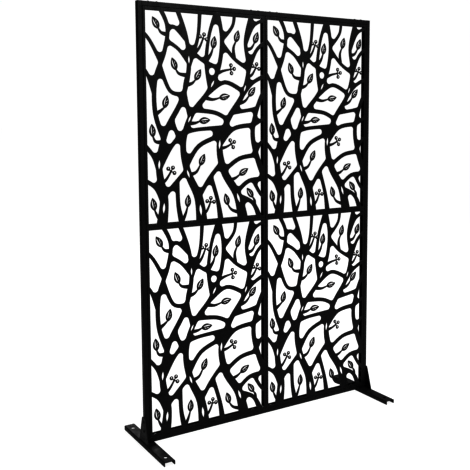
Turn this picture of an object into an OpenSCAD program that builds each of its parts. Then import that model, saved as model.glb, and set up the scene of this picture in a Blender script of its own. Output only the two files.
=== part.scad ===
// Free-standing privacy screen: four laser-cut steel panels with folded edges, bolted into a tube frame on two channel feet.
// Millimetres. Origin at the bottom centre, +X along the width, -Y is the face of the panels, +Z up.

/* [Panels] */
// width of one panel
panel_w = 588; // [440:2:760]
// height of one panel
panel_h = 894; // [680:2:1120]
// steel sheet the panels are cut and folded from
sheet_t = 1.5; // [1:0.1:2.4]
// plain border round the cut-outs on the face
border = 12; // [8:1:30]
// return lip at the back of the folded edge
lip = 12; // [11:1:20]
// outer bend radius of the folded edges
bend_r = 2.5; // [2:0.1:4]
// slot between the folded edges at each corner
corner_slot = 0.8; // [0.4:0.1:3]

/* [Cut-out pattern] */
// factor on the width of every bough and limb
branch_w = 1; // [0.8:0.02:1.4]
// radius that fills the forks of the boughs
web_r = 14; // [2:1:20]
// leaf length
leaf_l = 56; // [30:1:80]
// leaf width
leaf_w = 29; // [12:1:40]
// berry diameter
berry_d = 17; // [8:1:30]
// hole in each berry
berry_hole = 6; // [2:1:12]

/* [Frame] */
// tube width, seen from the front
tube_w = 20; // [15:1:40]
// tube depth, front to back
tube_d = 22; // [15:1:40]
// tube wall
tube_wall = 1.5; // [1:0.1:1.9]
// outer corner radius of the tube
tube_r = 2; // [2:0.5:6]
// depth of the plug in the top of each post
plug_h = 14; // [6:1:30]

/* [Feet] */
// foot length, front to back
foot_l = 410; // [250:5:600]
// foot width
foot_w = 48; // [30:1:80]
// foot height
foot_h = 18; // [12:1:40]
// foot sheet thickness
foot_t = 3; // [2:0.5:3.5]
// how far the foot stands out beyond the post
foot_out = 6; // [6:1:20]
// outer bend radius of the foot
foot_r = 4; // [3.5:0.5:8]
// anchor hole diameter
anchor_d = 16; // [6:0.5:20]
// anchor hole centre from the end of the foot
anchor_in = 40; // [20:1:80]

/* [Brace plates] */
// plate thickness
brace_t = 3; // [2:0.5:5]
// plate height above the foot
brace_h = 110; // [100:1:200]
// width at the bottom
brace_base = 92; // [50:1:160]
// width at the top
brace_top = 30; // [20:1:60]
// leg of the weld along the foot
weld_r = 2.6; // [1:0.1:3]

/* [Bolts] */
// first bolt from the panel corner
bolt_a = 30; // [20:1:50]
// second bolt from the panel corner
bolt_b = 68; // [50:1:76]
// shank diameter
bolt_d = 6; // [4:0.5:6]
// clearance hole
hole_d = 6.6; // [6.2:0.1:9]
// head diameter
head_d = 12; // [8:0.5:16]
// head height
head_h = 3.5; // [2:0.1:6]
// hexagon socket across the corners
socket_d = 4.6; // [3:0.1:6]
// nut across the corners
nut_d = 11.5; // [8:0.1:16]
// nut height
nut_h = 6; // [3:0.5:8]
// flange of the nut
nut_flange_d = 13; // [10:0.5:18]

/* [Hidden] */
W = 2 * panel_w + 2 * tube_w;
z_rail = foot_h;                          // underside of the bottom rail
z_low = foot_h + tube_w;                  // bottom edge of the lower panels
z_mid = z_low + panel_h;                  // seam between lower and upper panels
z_high = z_mid + panel_h;                 // top edge of the upper panels
H = z_high + tube_w;                      // top of the frame
x_in = panel_w;                           // inner face of a post
x_out = panel_w + tube_w;                 // outer face of a post
foot_x = x_out + foot_out - foot_w / 2;   // centre line of a foot
bolt_l = tube_w + 10;                     // through the tube, the side of a panel and the nut
edge_z = [bolt_a, bolt_b, panel_h - bolt_b, panel_h - bolt_a];
edge_x = [bolt_a, bolt_b, panel_w - bolt_b, panel_w - bolt_a];
post_z = [for (z0 = [z_low, z_mid]) for (z = edge_z) z0 + z];
rail_x = [for (x0 = [-panel_w, 0]) for (x = edge_x) x0 + x];
eps = 0.01;

black = [0.05, 0.05, 0.055];
dark = [0.10, 0.10, 0.11];
plastic = [0.14, 0.14, 0.15];

// ---------------------------------------------------------------- cut-out pattern, drawn in the plane of one panel
// x runs 0 to panel_w, z runs 0 to panel_h. Each bough is a list of [x, z, width] from its root to its tip.
BOUGHS = [
    [[70, -10, 52], [84, 110, 38], [64, 250, 28], [96, 390, 24], [170, 520, 22], [206, 650, 20], [196, 780, 18], [150, 904, 20]],
    [[262, -10, 56], [246, 110, 40], [196, 220, 32], [176, 340, 26], [216, 460, 24], [300, 560, 22], [352, 670, 20], [366, 790, 18], [344, 904, 20]],
    [[470, -10, 54], [440, 110, 40], [372, 220, 34], [352, 340, 28], [400, 450, 25], [470, 550, 23], [500, 660, 20], [486, 780, 18], [520, 904, 22]],
    [[600, 150, 36], [548, 260, 26], [520, 380, 22], [548, 500, 20], [600, 600, 22]],
    [[86, 362, 22], [50, 470, 20], [52, 600, 19], [96, 720, 18], [110, 820, 17], [70, 904, 20]]
];
// Limbs run from one bough to another or to the border. A pair is a place on a bough: which bough, how far along it.
// Three numbers are [x, z, width].
LIMBS = [
    [[0, 1.7], [40, 290, 17], [-10, 350, 18]],
    [[0, 0.8], [48, 160, 17], [-10, 200, 18]],
    [[4, 1.6], [20, 620, 15], [-10, 660, 17]],
    [[4, 2.6], [30, 760, 15], [-10, 800, 17]],
    [[0, 1.9], [120, 330, 18], [1, 3.5]],
    [[0, 1.1], [140, 180, 18], [1, 2.1]],
    [[1, 1.0], [300, 190, 19], [2, 2.3]],
    [[1, 2.2], [250, 330, 19], [2, 3.3]],
    [[1, 2.9], [130, 430, 17], [0, 3.7]],
    [[1, 3.9], [186, 560, 17], [0, 4.9]],
    [[1, 4.9], [380, 600, 18], [2, 5.1]],
    [[2, 2.9], [420, 400, 19], [3, 2.3]],
    [[2, 2.0], [450, 270, 19], [3, 1.2]],
    [[2, 1.1], [500, 170, 19], [3, 0.3]],
    [[2, 3.9], [330, 470, 18], [1, 4.2]],
    [[2, 4.9], [520, 600, 17], [600, 640, 19]],
    [[2, 5.9], [540, 740, 16], [600, 790, 18]],
    [[2, 6.9], [530, 850, 14], [600, 880, 17]],
    [[2, 6.0], [430, 700, 16], [1, 6.8]],
    [[1, 5.9], [270, 690, 16], [0, 5.7]],
    [[1, 5.1], [290, 680, 17], [306, 800, 15], [1, 8]],
    [[0, 5.1], [250, 780, 15], [262, 904, 18]],
    [[0, 5.9], [140, 820, 15], [4, 3.8]],
    [[1, 6.9], [420, 840, 14], [430, 904, 17]],
    [[170, -10, 30], [150, 80, 19], [146, 182, 19]],
    [[356, -10, 30], [340, 90, 19], [306, 200, 20]],
    [[560, -10, 30], [520, 70, 19], [2, 1.0]],
    [[600, 80, 22], [560, 110, 16], [520, 174, 18]],
    [[0, 4.2], [118, 560, 16], [4, 2.5]],
    [[0, 5.2], [160, 730, 15], [4, 3.4]],
    [[2, 4.2], [490, 480, 16], [3, 2.9]],
    [[3, 1.3], [566, 340, 15], [600, 350, 18]],
    [[3, 2.3], [570, 440, 14], [600, 470, 18]],
    [[1, 3.4], [250, 400, 16], [2, 3.6]]
];
// Twigs that end in a leaf: root, middle, end, angle of the leaf.
TWIGS = [
    [[4, 0.95], [74, 478], [92, 492], 75],
    [[0, 4.8], [162, 630], [146, 648], 110],
    [[0, 2.7], [50, 352], [38, 374], 95],
    [[4, 3.65], [83, 793], [69, 811], 120],
    [[427, 700, 16], [424, 746], [436, 775], 75],
    [[1, 4.75], [318, 526], [355, 534], 10],
    [[0, 4.5], [220, 592], [238, 608], 60],
    [[1, 1.9], [236, 220], [256, 250], 65],
    [[2, 1.6], [430, 186], [452, 200], 30],
    [[2, 0.4], [412, 46], [390, 72], 105],
    [[164, 10, 16], [182, 44], [193, 76], 85],
    [[0, 0.3], [52, 46], [40, 72], 100],
    [[2, 6.7], [514, 750], [532, 775], 70],
    [[2, 4.6], [480, 520], [502, 544], 50],
    [[1, 3.7], [234, 427], [256, 435], 5],
    [[291, 690, 16], [312, 716], [323, 743], 80],
    [[527, 58, 16], [529, 80], [518, 98], 125]
];
// Sprigs of three berries: root, middle, end, angle.
SPRIGS = [
    [[1, 5.7], [372, 648], [410, 656], 8],
    [[2, 2.8], [382, 322], [410, 335], 30],
    [[0, 1.5], [96, 196], [118, 228], 60],
    [[2, 5.7], [518, 636], [538, 666], 75],
    [[238, 722, 16], [258, 742], [276, 780], 75],
    [[1, 0.4], [286, 52], [304, 88], 85]
];
BERRIES = [[17, 0], [3, 17], [1, -17]];
// Slits along the boughs: which bough, how far along it, length.
SLITS = [[0, 0.75, 46], [1, 0.6, 50], [2, 0.9, 46], [0, 2.05, 40], [1, 1.95, 38], [2, 2.95, 42], [1, 3.85, 32], [0, 5.3, 34], [1, 5.3, 36], [2, 5.25, 32]];

// one coordinate of a smooth curve through b and c, t from 0 to 1
function smooth(a, b, c, d, t) = 0.5 * ((2 * b) + (c - a) * t + (2 * a - 5 * b + 4 * c - d) * t * t + (3 * b - a - 3 * c + d) * t * t * t);
function at(p, t) = let (i = min(floor(t), len(p) - 2)) smooth(p[max(i - 1, 0)], p[i], p[i + 1], p[min(i + 2, len(p) - 1)], t - i);
function heading(p, t) = let (a = at(p, t - 0.1), b = at(p, t + 0.1)) atan2(b[1] - a[1], b[0] - a[0]);
function curve(p, n) = [for (k = [0 : n * (len(p) - 1)]) at(p, k / n)];
function side(q, i) = let (a = q[max(i - 1, 0)], b = q[min(i + 1, len(q) - 1)], dx = b[0] - a[0], dy = b[1] - a[1], l = sqrt(dx * dx + dy * dy))
    [-dy / l, dx / l];
// a place on a bough, as [x, z, width]
function place(p) = len(p) == 3 ? p : let (q = at(BOUGHS[p[0]], p[1])) [q[0], q[1], min(q[2], 20)];
function leaf_half(t) = leaf_w / 2 * pow(sin(180 * pow(t, 0.85)), 0.9);
function thick(p) = [for (q = p) [q[0], q[1], q[2] * branch_w]];

// a strip of metal along a smooth curve, its width given at each point
module strip(p, n) {
    q = curve(p, n);
    polygon(concat(
        [for (i = [0 : len(q) - 1]) [q[i][0], q[i][1]] + side(q, i) * q[i][2] / 2],
        [for (i = [len(q) - 1 : -1 : 0]) [q[i][0], q[i][1]] - side(q, i) * q[i][2] / 2]));
}

module leaf() {
    n = 10;
    polygon(concat(
        [for (k = [0 : n]) [leaf_l * k / n, leaf_half(k / n)]],
        [for (k = [n - 1 : -1 : 1]) [leaf_l * k / n, -leaf_half(k / n)]]));
}

// a crescent on one side of the midrib and two veins on the other
module leaf_cuts() {
    s = leaf_l / 52;
    scale([s, s]) {
        polygon([[9, 2], [18, 5.4], [28, 6.4], [38, 4.8], [45, 1.6], [30, 1.9]]);
        for (x = [14, 25]) polygon([[x, -2], [x + 3, -2], [x + 11, -6.6], [x + 7.5, -7.2]]);
    }
}

module twig(t) {
    r = place(t[0]);
    strip([[r[0], r[1], 20], [t[1][0], t[1][1], 12], [t[2][0], t[2][1], 6]], 5);
    translate(t[2]) rotate(t[3]) translate([-5, 0]) leaf();
}

module sprig(t) {
    r = place(t[0]);
    strip([[r[0], r[1], 18], [t[1][0], t[1][1], 11], [t[2][0], t[2][1], 7]], 4);
    translate(t[2]) rotate(t[3]) {
        for (b = BERRIES) {
            translate(b) circle(d = berry_d, $fn = 20);
            strip([[-2, 0, 6], [b[0] / 2, b[1] / 2, 5], [b[0], b[1], 5]], 2);
        }
    }
}

module slit(s) {
    l = s[2];
    w = l / 4;
    p = BOUGHS[s[0]];
    translate([at(p, s[1])[0], at(p, s[1])[1]]) rotate(heading(p, s[1]))
        polygon(concat([for (k = [0 : 6]) [-l / 2 + l * k / 6, w / 2 * sin(30 * k)]], [for (k = [5 : -1 : 1]) [-l / 2 + l * k / 6, -w / 2 * sin(30 * k)]]));
}

// drawn for a panel of 588 x 894 and stretched to the panel's own size
module pattern() {
    scale([panel_w / 588, panel_h / 894]) difference() {
        union() {
            offset(r = 4, $fn = 20) offset(r = -4 - web_r, $fn = 24) offset(delta = web_r) {
                for (b = BOUGHS) strip(thick(b), 8);
                for (l = LIMBS) strip(thick([for (p = l) place(p)]), 6);
            }
            for (t = TWIGS) twig(t);
            for (t = SPRIGS) sprig(t);
        }
        for (t = TWIGS) translate(t[2]) rotate(t[3]) translate([-5, 0]) leaf_cuts();
        for (t = SPRIGS) translate(t[2]) rotate(t[3]) for (b = BERRIES) translate(b + [2, 0]) circle(d = berry_hole, $fn = 14);
        for (s = SLITS) slit(s);
    }
}

// ---------------------------------------------------------------- panel: face, four folded sides, four return lips
// Folded edge in cross-section: x is the depth behind the face, y the distance in from the panel's outer edge.
module fold_profile() {
    r = bend_r;
    q = bend_r - sheet_t;
    difference() {
        union() {
            translate([r, 0]) square([tube_d - 2 * r, lip]);
            translate([0, r]) square([tube_d, lip - r]);
            for (x = [r, tube_d - r]) translate([x, r]) circle(r = r, $fn = 32);
        }
        translate([sheet_t + q, sheet_t]) square([tube_d - 2 * sheet_t - 2 * q, lip]);
        translate([sheet_t, sheet_t + q]) square([tube_d - 2 * sheet_t, lip]);
        for (x = [sheet_t + q, tube_d - sheet_t - q]) translate([x, sheet_t + q]) circle(r = q, $fn = 32);
    }
}

// one folded edge along +X, mitred at both ends
module fold(l) {
    intersection() {
        rotate([90, 0, 90]) linear_extrude(l) fold_profile();
        translate([0, tube_d + 1, 0]) rotate([90, 0, 0]) linear_extrude(tube_d + 2)
            polygon([[0, 0], [l, 0], [l - lip, lip], [lip, lip]]);
    }
}

// the cut sheet inside the folded border, with a narrow ring that joins it to the border
module cut_sheet() {
    difference() {
        translate([lip - 2, lip - 2]) square([panel_w - 2 * lip + 4, panel_h - 2 * lip + 4]);
        translate([border, border]) square([panel_w - 2 * border, panel_h - 2 * border]);
    }
    intersection() {
        translate([border - 1, border - 1]) square([panel_w - 2 * border + 2, panel_h - 2 * border + 2]);
        pattern();
    }
}

// the lower left corner is at x0, z0; the face is at the front
module panel(x0, z0) {
    color(black) translate([x0, -tube_d / 2, z0]) difference() {
        union() {
            translate([0, sheet_t, 0]) rotate([90, 0, 0]) linear_extrude(sheet_t) cut_sheet();
            fold(panel_w);
            translate([panel_w, 0, panel_h]) rotate([0, 180, 0]) fold(panel_w);
            translate([panel_w, 0, 0]) rotate([0, -90, 0]) fold(panel_h);
            translate([0, 0, panel_h]) rotate([0, 90, 0]) fold(panel_h);
        }
        // open seam where two folded edges meet, from just behind the front bend to the back
        for (x = [0, panel_w]) for (z = [0, panel_h])
            translate([x, bend_r + 0.5 + tube_d / 2, z]) rotate([0, (x == 0) == (z == 0) ? 45 : -45, 0])
                cube([corner_slot, tube_d, 3 * lip], center = true);
        // bolt holes in the folded sides
        for (z = edge_z) for (x = [0, panel_w]) translate([x, tube_d / 2, z]) rotate([0, 90, 0]) cylinder(d = hole_d, h = 4 * sheet_t, center = true, $fn = 32);
        for (x = edge_x) for (z = [0, panel_h]) translate([x, tube_d / 2, z]) cylinder(d = hole_d, h = 4 * sheet_t, center = true, $fn = 32);
    }
}

module panel_top_left() { panel(-panel_w, z_mid); }
module panel_top_right() { panel(0, z_mid); }
module panel_bottom_left() { panel(-panel_w, z_low); }
module panel_bottom_right() { panel(0, z_low); }

// ---------------------------------------------------------------- frame
module round_rect(w, d, r) {
    square([w - 2 * r, d], center = true);
    square([w, d - 2 * r], center = true);
    for (x = [-1, 1]) for (y = [-1, 1]) translate([x * (w / 2 - r), y * (d / 2 - r)]) circle(r = r, $fn = 32);
}

module tube(l) {
    linear_extrude(l) difference() {
        round_rect(tube_w, tube_d, tube_r);
        round_rect(tube_w - 2 * tube_wall, tube_d - 2 * tube_wall, tube_r - tube_wall);
    }
}

module post(s) {
    color(black) difference() {
        translate([s * (x_in + tube_w / 2), 0, foot_h]) tube(H - foot_h);
        for (z = post_z) translate([s * (x_in + tube_w / 2), 0, z]) rotate([0, 90, 0]) cylinder(d = hole_d, h = tube_w + 2, center = true, $fn = 32);
    }
}
module post_left() { post(-1); }
module post_right() { post(1); }

module rail(z) {
    color(black) difference() {
        translate([-x_in, 0, z + tube_w / 2]) rotate([0, 90, 0]) tube(2 * x_in);
        for (x = rail_x) translate([x, 0, z + tube_w / 2]) cylinder(d = hole_d, h = tube_w + 2, center = true, $fn = 32);
    }
}
module top_rail() { rail(z_high); }
module bottom_rail() { rail(z_rail); }

// ribbed plug, flush with the top of the post
module post_plug(s) {
    w = tube_w - 2 * tube_wall;
    d = tube_d - 2 * tube_wall;
    q = tube_r - tube_wall;
    color(plastic) translate([s * (x_in + tube_w / 2), 0, H]) {
        translate([0, 0, -2.5]) linear_extrude(2.5) round_rect(w, d, q);
        difference() {
            union() {
                translate([0, 0, -plug_h]) linear_extrude(plug_h - 2) square([w - 2, d - 2], center = true);
                for (z = [4 : 4 : plug_h - 2]) translate([0, 0, -z - 1]) linear_extrude(1) round_rect(w, d, q);
            }
            translate([0, 0, -plug_h - 1]) linear_extrude(plug_h - 2) square([w - 6, d - 6], center = true);
        }
    }
}
module post_plug_left() { post_plug(-1); }
module post_plug_right() { post_plug(1); }

// ---------------------------------------------------------------- feet and brace plates
module foot_profile() {
    difference() {
        union() {
            translate([-foot_w / 2, 0]) square([foot_w, foot_h - foot_r]);
            translate([-foot_w / 2 + foot_r, 0]) square([foot_w - 2 * foot_r, foot_h]);
            for (s = [-1, 1]) translate([s * (foot_w / 2 - foot_r), foot_h - foot_r]) circle(r = foot_r, $fn = 48);
        }
        translate([-foot_w / 2 + foot_t, -1]) square([foot_w - 2 * foot_t, foot_h - foot_r + 1]);
        translate([-foot_w / 2 + foot_r, -1]) square([foot_w - 2 * foot_r, foot_h - foot_t + 1]);
        for (s = [-1, 1]) translate([s * (foot_w / 2 - foot_r), foot_h - foot_r]) circle(r = foot_r - foot_t, $fn = 48);
    }
}

module foot(s) {
    color(black) difference() {
        translate([s * foot_x, foot_l / 2, 0]) rotate([90, 0, 0]) linear_extrude(foot_l) foot_profile();
        for (y = [-1, 1]) translate([s * foot_x, y * (foot_l / 2 - anchor_in), foot_h]) cylinder(d = anchor_d, h = 4 * foot_t, center = true, $fn = 48);
    }
}
module foot_left() { foot(-1); }
module foot_right() { foot(1); }

// upright trapezoid against the outer side of the post, with the weld along its foot
module brace_plate(s) {
    b = brace_base / 2;
    t = brace_top / 2;
    color(black) mirror([s < 0 ? 1 : 0, 0, 0]) {
        difference() {
            translate([x_out, 0, foot_h]) rotate([90, 0, 90]) linear_extrude(brace_t)
                polygon([[-b, 0], [b, 0], [b, 4], [t + 1, brace_h - 3], [t - 2, brace_h], [2 - t, brace_h], [-t - 1, brace_h - 3], [-b, 4]]);
            for (z = [post_z[0], post_z[1]]) translate([x_out + brace_t / 2, 0, z]) rotate([0, 90, 0]) cylinder(d = hole_d, h = brace_t + 2, center = true, $fn = 32);
        }
        intersection() {
            translate([x_out + brace_t - 0.4, b - 1, foot_h]) rotate([90, 0, 0]) cylinder(r = weld_r, h = brace_base - 2, $fn = 32);
            translate([x_out + brace_t / 2, -b, foot_h]) cube([10, brace_base, 10]);
        }
    }
}
module brace_plate_left() { brace_plate(-1); }
module brace_plate_right() { brace_plate(1); }

// ---------------------------------------------------------------- bolts and nuts
// low domed head with a hexagon socket above z = 0, shank below
module bolt(l) {
    difference() {
        union() {
            intersection() {
                translate([0, 0, head_h - head_d * 0.72]) sphere(r = head_d * 0.72, $fn = 64);
                cylinder(d = head_d, h = head_h, $fn = 48);
            }
            translate([0, 0, -l]) cylinder(d = bolt_d - 0.1, h = l + 0.5, $fn = 32);
        }
        translate([0, 0, head_h - 2]) cylinder(d = socket_d, h = 3, $fn = 6);
    }
}

// flange nut, its flange on z = 0, body below
module nut() {
    difference() {
        union() {
            translate([0, 0, -nut_h]) cylinder(d = nut_d, h = nut_h, $fn = 6);
            translate([0, 0, -1.2]) cylinder(d = nut_flange_d, h = 1.2, $fn = 48);
        }
        translate([0, 0, -nut_h - 1]) cylinder(d = bolt_d, h = nut_h + 2, $fn = 32);
    }
}

// along +X or -X from the outer side of a post
module side_bolts(s, zs, x, l) { color(dark) for (z = zs) translate([s * x, 0, z]) rotate([0, s * 90, 0]) bolt(l); }
module side_nuts(s, zs, x) { color(dark) for (z = zs) translate([s * x, 0, z]) rotate([0, s * 90, 0]) nut(); }

module post_bolts_left() { side_bolts(-1, [for (i = [2 : 7]) post_z[i]], x_out, bolt_l); }
module post_bolts_right() { side_bolts(1, [for (i = [2 : 7]) post_z[i]], x_out, bolt_l); }
module brace_bolts_left() { side_bolts(-1, [post_z[0], post_z[1]], x_out + brace_t, bolt_l + brace_t); }
module brace_bolts_right() { side_bolts(1, [post_z[0], post_z[1]], x_out + brace_t, bolt_l + brace_t); }
module post_nuts_left() { side_nuts(-1, post_z, x_in - sheet_t); }
module post_nuts_right() { side_nuts(1, post_z, x_in - sheet_t); }

module top_rail_bolts() { color(dark) for (x = rail_x) translate([x, 0, H]) bolt(bolt_l); }
module bottom_rail_bolts() { color(dark) for (x = rail_x) translate([x, 0, z_rail]) mirror([0, 0, 1]) bolt(bolt_l); }
module top_rail_nuts() { color(dark) for (x = rail_x) translate([x, 0, z_high - sheet_t]) nut(); }
module bottom_rail_nuts() { color(dark) for (x = rail_x) translate([x, 0, z_low + sheet_t]) mirror([0, 0, 1]) nut(); }

module vertical_seam_bolts() { side_bolts(-1, post_z, sheet_t, 12); }
module vertical_seam_nuts() { side_nuts(-1, post_z, -sheet_t); }
module cross_seam_bolts() { color(dark) for (x = rail_x) translate([x, 0, z_mid + sheet_t]) bolt(12); }
module cross_seam_nuts() { color(dark) for (x = rail_x) translate([x, 0, z_mid - sheet_t]) nut(); }

panel_top_left();
panel_top_right();
panel_bottom_left();
panel_bottom_right();
post_left();
post_right();
top_rail();
bottom_rail();
foot_left();
foot_right();
brace_plate_left();
brace_plate_right();
post_plug_left();
post_plug_right();
post_bolts_left();
post_bolts_right();
brace_bolts_left();
brace_bolts_right();
top_rail_bolts();
bottom_rail_bolts();
vertical_seam_bolts();
cross_seam_bolts();
post_nuts_left();
post_nuts_right();
top_rail_nuts();
bottom_rail_nuts();
vertical_seam_nuts();
cross_seam_nuts();
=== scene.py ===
import math

import bmesh
import bpy
from mathutils import Matrix, Vector


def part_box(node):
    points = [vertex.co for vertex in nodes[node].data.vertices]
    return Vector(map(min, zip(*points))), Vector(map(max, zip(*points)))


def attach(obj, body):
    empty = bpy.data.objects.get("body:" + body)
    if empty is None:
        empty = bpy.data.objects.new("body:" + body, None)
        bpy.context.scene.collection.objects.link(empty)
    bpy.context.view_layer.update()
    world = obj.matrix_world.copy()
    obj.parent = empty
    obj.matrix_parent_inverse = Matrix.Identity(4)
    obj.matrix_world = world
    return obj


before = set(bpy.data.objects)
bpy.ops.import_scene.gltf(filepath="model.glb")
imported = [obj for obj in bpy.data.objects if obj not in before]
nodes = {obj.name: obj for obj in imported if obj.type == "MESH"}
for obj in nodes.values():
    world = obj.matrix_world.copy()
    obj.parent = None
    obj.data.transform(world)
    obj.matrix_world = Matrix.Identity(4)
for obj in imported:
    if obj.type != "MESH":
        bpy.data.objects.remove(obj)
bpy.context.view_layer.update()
scene = bpy.context.scene


# ------------------------------------------------------------------ camera
# Same side and height as the photograph: the screen's left end is the nearer one, seen from about 31 degrees.
def camera():
    eye = Vector((-1.77250, -2.67700, 1.36163))
    az, pitch, roll = (math.radians(a) for a in (31.147, -5.372, -0.380))
    fwd = Vector((math.sin(az) * math.cos(pitch), math.cos(az) * math.cos(pitch), math.sin(pitch)))
    right = Vector((math.cos(az), -math.sin(az), 0.0))
    up = right.cross(fwd)
    x = right * math.cos(roll) + up * math.sin(roll)
    y = up * math.cos(roll) - right * math.sin(roll)
    data = bpy.data.cameras.new("camera")
    data.sensor_width = 36.0
    data.lens = 54.636
    data.shift_y = -0.0975
    data.clip_start, data.clip_end = 0.05, 400.0
    cam = bpy.data.objects.new("camera", data)
    m = Matrix((x, y, -fwd)).transposed().to_4x4()
    m.translation = eye
    cam.matrix_world = m
    scene.collection.objects.link(cam)
    scene.camera = cam


camera()


# ------------------------------------------------------------------ materials
class Nodes:
    """A material's node tree with a few short ways to add to it."""

    def __init__(self, name):
        self.mat = bpy.data.materials.new(name)
        self.mat.use_nodes = True
        self.tree = self.mat.node_tree
        self.tree.nodes.clear()
        self.out = self.add("ShaderNodeOutputMaterial")
        self.bsdf = self.add("ShaderNodeBsdfPrincipled")
        self.link(self.bsdf.outputs[0], self.out.inputs["Surface"])
        self.place = self.add("ShaderNodeTexCoord").outputs["Object"]

    def add(self, kind, **values):
        n = self.tree.nodes.new(kind)
        for k, v in values.items():
            setattr(n, k, v)
        return n

    def link(self, a, b):
        self.tree.links.new(a, b)

    def noise(self, scale, detail=2.0, rough=0.5, stretch=None):
        n = self.add("ShaderNodeTexNoise")
        n.inputs["Scale"].default_value = scale
        n.inputs["Detail"].default_value = detail
        n.inputs["Roughness"].default_value = rough
        source = self.place
        if stretch:
            s = self.add("ShaderNodeMapping")
            s.inputs["Scale"].default_value = stretch
            self.link(self.place, s.inputs["Vector"])
            source = s.outputs[0]
        self.link(source, n.inputs["Vector"])
        return n.outputs["Fac"]

    def voronoi(self, scale):
        n = self.add("ShaderNodeTexVoronoi")
        n.inputs["Scale"].default_value = scale
        self.link(self.place, n.inputs["Vector"])
        return n.outputs["Distance"]

    def ramp(self, value, a, b, x=0.0, y=1.0, smooth=True):
        n = self.add("ShaderNodeMapRange")
        if smooth:
            n.interpolation_type = "SMOOTHSTEP"
        self.link(value, n.inputs["Value"])
        for k, v in zip(("From Min", "From Max", "To Min", "To Max"), (a, b, x, y)):
            n.inputs[k].default_value = v
        return n.outputs["Result"]

    def math(self, op, a, b=None):
        n = self.add("ShaderNodeMath", operation=op)
        for i, v in enumerate((a, b)):
            if v is None:
                continue
            if isinstance(v, (int, float)):
                n.inputs[i].default_value = v
            else:
                self.link(v, n.inputs[i])
        return n.outputs[0]

    def mix(self, factor, a, b):
        n = self.add("ShaderNodeMix", data_type="RGBA")
        for socket, v in ((n.inputs[0], factor), (n.inputs[6], a), (n.inputs[7], b)):
            if isinstance(v, (int, float)):
                socket.default_value = v
            elif isinstance(v, tuple):
                socket.default_value = (*v, 1.0)
            else:
                self.link(v, socket)
        return n.outputs[2]

    def bump(self, height, distance, strength=1.0, normal=None):
        n = self.add("ShaderNodeBump")
        n.inputs["Distance"].default_value = distance
        n.inputs["Strength"].default_value = strength
        self.link(height, n.inputs["Height"])
        if normal is not None:
            self.link(normal, n.inputs["Normal"])
        return n.outputs[0]

    def edges(self, radius, sharp=0.6):
        """1 on outer and inner edges, 0 on open surface."""
        bevel = self.add("ShaderNodeBevel", samples=4)
        bevel.inputs["Radius"].default_value = radius
        geometry = self.add("ShaderNodeNewGeometry")
        dot = self.add("ShaderNodeVectorMath", operation="DOT_PRODUCT")
        self.link(bevel.outputs[0], dot.inputs[0])
        self.link(geometry.outputs["True Normal"], dot.inputs[1])
        return self.ramp(dot.outputs["Value"], 0.985, sharp)

    def up(self):
        """1 on faces that look up, 0 on the rest."""
        geometry = self.add("ShaderNodeNewGeometry")
        s = self.add("ShaderNodeSeparateXYZ")
        self.link(geometry.outputs["Normal"], s.inputs[0])
        return self.ramp(s.outputs["Z"], 0.5, 0.95)


def powder_coat():
    """Black polyester powder coat on steel: satin, with orange peel, a fine grain, cloudy gloss and thinner cover along the edges."""
    m = Nodes("powder_coat_black")
    cloud = m.noise(5.5, 3.0, 0.55)
    smear = m.noise(34.0, 3.0, 0.6)
    peel = m.noise(300.0, 2.0, 0.5)
    grain = m.noise(1250.0, 3.0, 0.6)
    edge = m.math("MULTIPLY", m.edges(0.0011), m.ramp(m.noise(70.0, 3.0, 0.65), 0.40, 0.66, 0.25, 1.0))
    colour = m.mix(m.ramp(cloud, 0.34, 0.66), (0.0058, 0.0058, 0.0062), (0.0092, 0.0093, 0.0098))
    colour = m.mix(m.ramp(grain, 0.60, 0.78, 0.0, 0.35), colour, (0.020, 0.020, 0.0215))
    dust = m.math("MULTIPLY", m.up(), m.ramp(m.noise(22.0, 4.0, 0.65), 0.42, 0.72, 0.05, 0.45))
    colour = m.mix(dust, colour, (0.026, 0.0255, 0.0245))
    colour = m.mix(m.math("MULTIPLY", edge, 0.55), colour, (0.036, 0.036, 0.038))
    m.link(colour, m.bsdf.inputs["Base Color"])
    rough = m.ramp(smear, 0.30, 0.70, 0.42, 0.56)
    rough = m.math("ADD", rough, m.ramp(grain, 0.3, 0.7, -0.03, 0.04))
    rough = m.math("SUBTRACT", rough, m.math("MULTIPLY", edge, 0.10))
    m.link(rough, m.bsdf.inputs["Roughness"])
    normal = m.bump(peel, 0.00007)
    normal = m.bump(grain, 0.00003, 1.0, normal)
    m.link(normal, m.bsdf.inputs["Normal"])
    m.bsdf.inputs["Specular IOR Level"].default_value = 0.24
    return m.mat


def fasteners():
    """Black oxide, a little glossier than the coat, rubbed to the metal on the edges of heads, sockets and nuts."""
    m = Nodes("black_oxide")
    cloud = m.noise(60.0, 3.0, 0.6)
    fine = m.noise(1900.0, 3.0, 0.6)
    turned = m.noise(500.0, 2.0, 0.5, (1.0, 1.0, 6.0))
    edge = m.math("MULTIPLY", m.edges(0.0005, 0.5), m.ramp(m.noise(260.0, 3.0, 0.7), 0.42, 0.62, 0.10, 1.0))
    colour = m.mix(m.ramp(cloud, 0.35, 0.65), (0.0120, 0.0120, 0.0130), (0.0230, 0.0225, 0.0235))
    colour = m.mix(m.math("MULTIPLY", edge, 0.7), colour, (0.16, 0.155, 0.15))
    m.link(colour, m.bsdf.inputs["Base Color"])
    m.link(m.math("MULTIPLY", edge, 0.7), m.bsdf.inputs["Metallic"])
    rough = m.ramp(fine, 0.3, 0.7, 0.30, 0.42)
    m.link(m.math("ADD", rough, m.ramp(cloud, 0.3, 0.7, -0.03, 0.05)), m.bsdf.inputs["Roughness"])
    normal = m.bump(fine, 0.000008)
    normal = m.bump(turned, 0.000010, 1.0, normal)
    m.link(normal, m.bsdf.inputs["Normal"])
    m.bsdf.inputs["Specular IOR Level"].default_value = 0.5
    return m.mat


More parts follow.
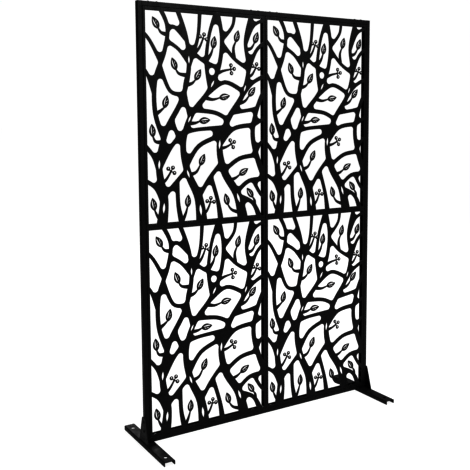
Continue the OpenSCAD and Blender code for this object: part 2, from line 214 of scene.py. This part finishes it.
def plastic():
    """Moulded black polyethylene with a spark-eroded grain and a few scuffs from being pushed in."""
    m = Nodes("moulded_plastic")
    cloud = m.noise(40.0, 2.0, 0.5)
    grain = m.voronoi(2600.0)
    scuff = m.noise(180.0, 4.0, 0.7, (1.0, 1.0, 0.15))
    colour = m.mix(m.ramp(cloud, 0.35, 0.65), (0.0125, 0.0125, 0.0130), (0.0180, 0.0180, 0.0185))
    colour = m.mix(m.ramp(scuff, 0.62, 0.74, 0.0, 0.5), colour, (0.045, 0.045, 0.046))
    colour = m.mix(m.math("MULTIPLY", m.edges(0.0006), 0.4), colour, (0.05, 0.05, 0.05))
    m.link(colour, m.bsdf.inputs["Base Color"])
    m.link(m.ramp(cloud, 0.3, 0.7, 0.56, 0.68), m.bsdf.inputs["Roughness"])
    normal = m.bump(grain, 0.00002)
    m.link(normal, m.bsdf.inputs["Normal"])
    m.bsdf.inputs["Specular IOR Level"].default_value = 0.4
    return m.mat


COAT, OXIDE, PLASTIC = powder_coat(), fasteners(), plastic()


def dress(obj, mat):
    obj.data.materials.clear()
    obj.data.materials.append(mat)


def modifier(obj, kind, name, **values):
    m = obj.modifiers.new(name, kind)
    for k, v in values.items():
        setattr(m, k, v)
    return m


for name, obj in nodes.items():
    if name.endswith("_bolts") or "_bolts_" in name or "_nuts" in name:
        dress(obj, OXIDE)
    elif "plug" in name:
        dress(obj, PLASTIC)
    else:
        dress(obj, COAT)


# ------------------------------------------------------------------ weld beads
def weld_bead(name, side):
    """The laid bead along the foot of a brace plate: overlapping half-moon ripples that run down over the foot's rounded shoulder."""
    plate_lo, plate_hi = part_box("brace_plate_right")
    foot_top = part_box("foot_right")[1][2]
    half = (plate_hi[1] - plate_lo[1]) / 2
    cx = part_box("post_right")[1][0] + 0.0026
    steps, arc = 300, 14
    a0, a1 = math.radians(-46.0), math.radians(92.0)
    mesh = bpy.data.meshes.new(name)
    bm = bmesh.new()
    rings = []
    for i in range(steps + 1):
        y = -half - 0.0004 + (2 * half + 0.0008) * i / steps
        near = min(1.0, (half + 0.0004 - abs(y)) / 0.0026)
        body = math.sqrt(max(0.0, 1.0 - (1.0 - near) ** 2))
        drift = 0.00010 * math.sin(95.0 * y + 0.7 + side) + 0.00006 * math.sin(310.0 * y + 2.1 * side)
        ring = [bm.verts.new((side * (cx - 0.0012), y, foot_top - 0.0012))]
        for j in range(arc + 1):
            a = a0 + (a1 - a0) * j / arc
            bow = 0.0011 * (1.0 - math.cos(2.0 * (a - math.radians(30.0))))
            wave = (y + bow) / (0.00185 + 0.00012 * math.sin(60.0 * y))
            ripple = 0.00034 * abs(math.sin(math.pi * wave)) ** 0.7
            r = 0.0012 + (0.00150 + drift + ripple) * body
            ring.append(bm.verts.new((side * (cx + r * math.cos(a)), y, foot_top + r * math.sin(a))))
        rings.append(ring)
    for p, q in zip(rings, rings[1:]):
        n = len(p)
        for k in range(n):
            bm.faces.new((p[k], p[(k + 1) % n], q[(k + 1) % n], q[k]))
    bm.faces.new(rings[0])
    bm.faces.new(rings[-1])
    bmesh.ops.recalc_face_normals(bm, faces=bm.faces)
    for f in bm.faces:
        f.smooth = len(f.verts) == 4
    bm.to_mesh(mesh)
    bm.free()
    obj = bpy.data.objects.new(name, mesh)
    scene.collection.objects.link(obj)
    dress(obj, COAT)
    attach(obj, "root")


weld_bead("weld_bead_left", -1)
weld_bead("weld_bead_right", 1)


# ------------------------------------------------------------------ stage and light
def stage():
    floor = bpy.data.meshes.new("floor")
    bm = bmesh.new()
    bmesh.ops.create_grid(bm, x_segments=8, y_segments=8, size=120.0)
    bm.to_mesh(floor)
    bm.free()
    obj = bpy.data.objects.new("floor", floor)
    obj.location.z = -0.0003
    scene.collection.objects.link(obj)
    m = Nodes("pale_floor")
    seen = m.add("ShaderNodeLightPath").outputs["Is Camera Ray"]
    away = m.add("ShaderNodeVectorMath", operation="LENGTH")
    m.link(m.place, away.inputs[0])
    paint = m.mix(m.ramp(m.noise(3.0, 3.0, 0.5), 0.3, 0.7), (0.80, 0.80, 0.80), (0.83, 0.83, 0.83))
    # For camera rays the floor's colour drops to 0.13 and a painted glow replaces lamp light, filling in the shade
    # under and inside the feet.
    m.link(m.mix(seen, paint, (0.13, 0.13, 0.13)), m.bsdf.inputs["Base Color"])
    # Painted glow: weaker near the object and stronger out to 4.5 m, where it stands in for lamp light that falls off
    # with distance; other rays get a faint 0.08 glow that lights the object from below.
    painted_glow = m.ramp(away.outputs["Value"], 0.8, 4.5, 0.90, 0.975)
    m.link(m.math("MAXIMUM", m.math("MULTIPLY", painted_glow, seen), 0.08), m.bsdf.inputs["Emission Strength"])
    m.bsdf.inputs["Roughness"].default_value = 0.85
    m.bsdf.inputs["Specular IOR Level"].default_value = 0.2
    m.bsdf.inputs["Emission Color"].default_value = (1.0, 1.0, 1.0, 1.0)
    dress(obj, m.mat)

    world = bpy.data.worlds.new("studio")
    world.use_nodes = True
    tree = world.node_tree
    background = tree.nodes["Background"]
    background.inputs["Color"].default_value = (1.0, 1.0, 1.0, 1.0)
    path = tree.nodes.new("ShaderNodeLightPath")
    level = tree.nodes.new("ShaderNodeMapRange")
    level.inputs["To Min"].default_value = 0.18
    level.inputs["To Max"].default_value = 1.01
    tree.links.new(path.outputs["Is Camera Ray"], level.inputs["Value"])
    tree.links.new(level.outputs["Result"], background.inputs["Strength"])
    scene.world = world


def softbox(name, place, aim, size, watts):
    data = bpy.data.lights.new(name, "AREA")
    data.shape = "RECTANGLE"
    data.size, data.size_y = size
    data.energy = watts
    obj = bpy.data.objects.new(name, data)
    obj.location = place
    obj.rotation_euler = (Vector(aim) - Vector(place)).to_track_quat("-Z", "Y").to_euler()
    scene.collection.objects.link(obj)


stage()
softbox("key", (1.6, -4.2, 3.4), (0.0, 0.0, 0.9), (2.4, 2.4), 170.0)
softbox("top", (0.2, -0.4, 4.4), (0.0, 0.0, 0.4), (3.0, 3.0), 170.0)
softbox("side", (4.2, 1.2, 2.2), (0.3, 0.0, 0.9), (1.6, 2.6), 40.0)
softbox("rear", (1.6, 4.2, 3.2), (0.0, 0.0, 0.9), (2.4, 2.4), 110.0)

scene.view_settings.view_transform = "Standard"
scene.view_settings.look = "None"
scene.view_settings.gamma = 0.52
